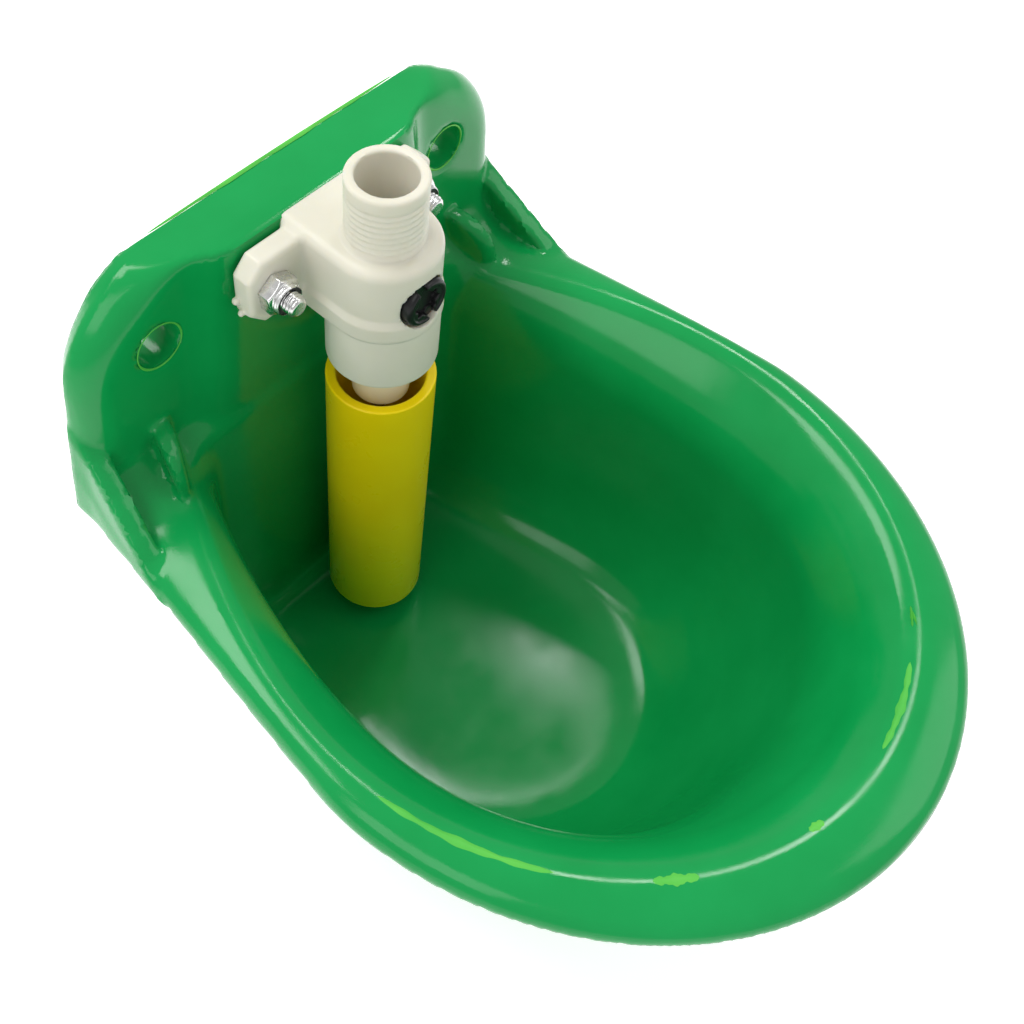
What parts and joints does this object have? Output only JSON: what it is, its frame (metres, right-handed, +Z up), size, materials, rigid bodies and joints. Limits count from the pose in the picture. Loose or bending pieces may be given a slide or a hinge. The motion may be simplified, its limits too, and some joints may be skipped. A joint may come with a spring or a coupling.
{
  "type": "tube valve drinking bowl",
  "caption": "Wall-hung livestock drinking bowl in moulded plastic with a flanged valve, a threaded top inlet and a hanging nose tube that opens the water.",
  "frame": {"origin": "midway between the two wall-screw holes, on the back face that lies against the wall", "axes": "+Z up, +Y into the wall, the bowl stands out towards -Y, mirror symmetric in X"},
  "size_m": [0.1896, 0.2225, 0.193],
  "materials": {
    "bowl_plastic": "satin moulded polypropylene",
    "valve_plastic": "natural acetal, moulded",
    "collar_plastic": "natural acetal, moulded",
    "nozzle_plastic": "cream acetal",
    "seal_rubber": "moulded rubber",
    "spring_steel": "stainless spring wire",
    "stem_steel": "drawn stainless rod",
    "tube_plastic": "satin moulded",
    "strainer_plastic": "fine moulded mesh",
    "regulator_plastic": "moulded",
    "zinc_steel": "bright zinc or stainless",
    "insert_nylon": "dark nylon ring"
  },
  "bodies": {
    "bowl_unit": {"bowl": "bowl_plastic", "valve_body": "valve_plastic", "valve_collar": "collar_plastic", "outlet_nozzle": "nozzle_plastic", "seat_washer": "seal_rubber", "collar_seal": "seal_rubber", "inlet_strainer": "strainer_plastic", "bolt_right": "zinc_steel", "bolt_washer_right": "zinc_steel", "lock_nut_right": "zinc_steel", "nut_insert_right": "insert_nylon", "bolt_left": "zinc_steel", "bolt_washer_left": "zinc_steel", "lock_nut_left": "zinc_steel", "nut_insert_left": "insert_nylon"},
    "plunger": {"valve_disc": "nozzle_plastic", "return_spring": "spring_steel"},
    "rocking_stem": {"stem": "stem_steel", "stem_clip": "spring_steel"},
    "nose_tube": {"push_tube": "tube_plastic"},
    "regulator_carrier": {"regulator_seal": "seal_rubber"},
    "regulator": {"regulator_screw": "regulator_plastic"}
  },
  "joints": [
    {"name": "valve_lift", "type": "slide", "parent": "bowl_unit", "child": "plunger", "axis": [0, 0, 1], "range_m": [0, 0.0025], "stiffness_N_per_m": 300, "springref_m": -0.004, "deforming": ["return_spring"]},
    {"name": "stem_tilt", "type": "hinge", "parent": "plunger", "child": "rocking_stem", "pos_m": [0, -0.0402, -0.0095], "axis": [1, 0, 0], "range_deg": [-7, 1.5]},
    {"name": "tube_swing", "type": "hinge", "parent": "rocking_stem", "child": "nose_tube", "pos_m": [0, -0.0402, -0.07], "axis": [0, 1, 0], "range_deg": [-4, 4]},
    {"name": "regulator_travel", "type": "slide", "parent": "bowl_unit", "child": "regulator_carrier", "axis": [0, -1, 0], "range_m": [0, 0.0015]},
    {"name": "regulator_turn", "type": "hinge", "parent": "regulator_carrier", "child": "regulator", "pos_m": [0, -0.0508, 0.0084], "axis": [0, -1, 0], "range_deg": [0, 360]}
  ],
  "couplings": [
    {"joint": "regulator_turn", "follows": "regulator_travel", "rad_per_m": 4188.8}
  ]
}
